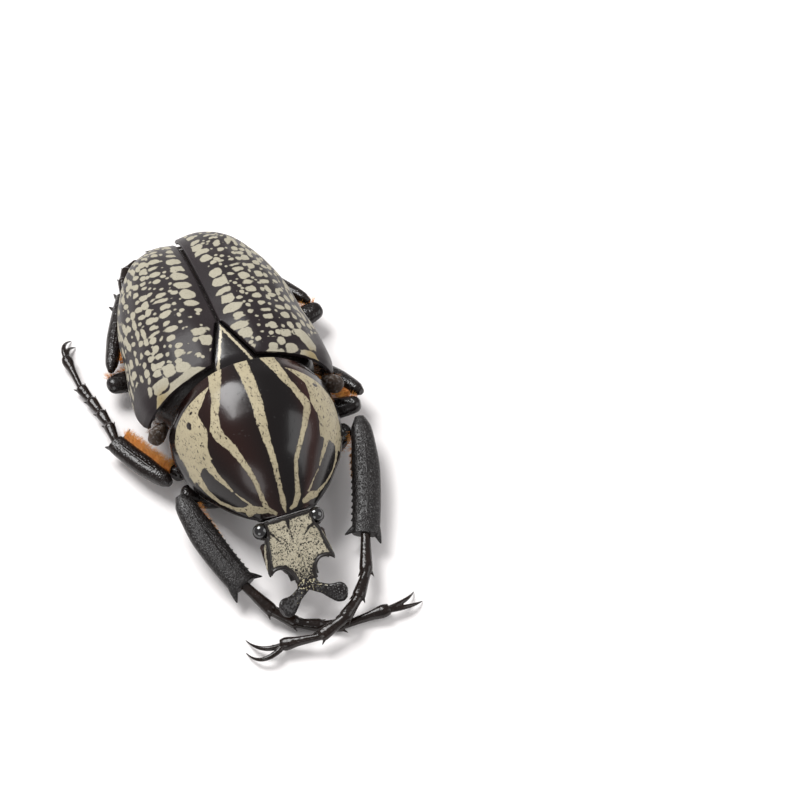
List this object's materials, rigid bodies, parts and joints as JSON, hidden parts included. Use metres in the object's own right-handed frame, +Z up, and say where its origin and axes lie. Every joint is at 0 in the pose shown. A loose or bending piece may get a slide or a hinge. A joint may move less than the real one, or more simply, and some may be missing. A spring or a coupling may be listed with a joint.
{
  "type": "goliath beetle",
  "caption": "Male goliath beetle lying on its belly: striped fore body, spotted wing cases, forked horn and spread clawed legs.",
  "frame": {"origin": "on the flat of the belly, where it lies on the ground, under the middle of the body", "axes": "+Z up, -Y towards the head, +X towards the beetle's left side"},
  "size_m": [0.0397, 0.0749, 0.0183],
  "materials": {
    "pronotum": "gloss, dark brown with cream stripes",
    "wing_case": "satin, black with cream spots",
    "head": "matt, cream with dark pits",
    "black_shell": "gloss",
    "shin": "satin, wrinkled",
    "eye": "polished"
  },
  "bodies": {
    "root": {"pronotum": "pronotum", "elytron_left": "wing_case", "elytron_right": "wing_case", "scutellum": "black_shell", "thorax": "black_shell", "abdomen": "black_shell", "pygidium": "black_shell", "side_plate_left": "black_shell", "side_plate_right": "black_shell", "head": "head", "horn": "black_shell", "eye_left": "eye", "eye_right": "eye", "antenna_left": "black_shell", "antenna_right": "black_shell", "mouthparts": "black_shell", "foreleg_right_femur": "black_shell", "foreleg_right_tibia": "shin", "foreleg_right_tarsus": "black_shell", "foreleg_left_femur": "black_shell", "foreleg_left_tibia": "shin", "foreleg_left_tarsus": "black_shell", "midleg_right_femur": "black_shell", "midleg_right_tibia": "shin", "midleg_right_tarsus": "black_shell", "midleg_left_femur": "black_shell", "midleg_left_tibia": "shin", "midleg_left_tarsus": "black_shell", "hindleg_right_femur": "black_shell", "hindleg_right_tibia": "shin", "hindleg_right_tarsus": "black_shell", "hindleg_left_femur": "black_shell", "hindleg_left_tibia": "shin", "hindleg_left_tarsus": "black_shell"}
  },
  "joints": []
}
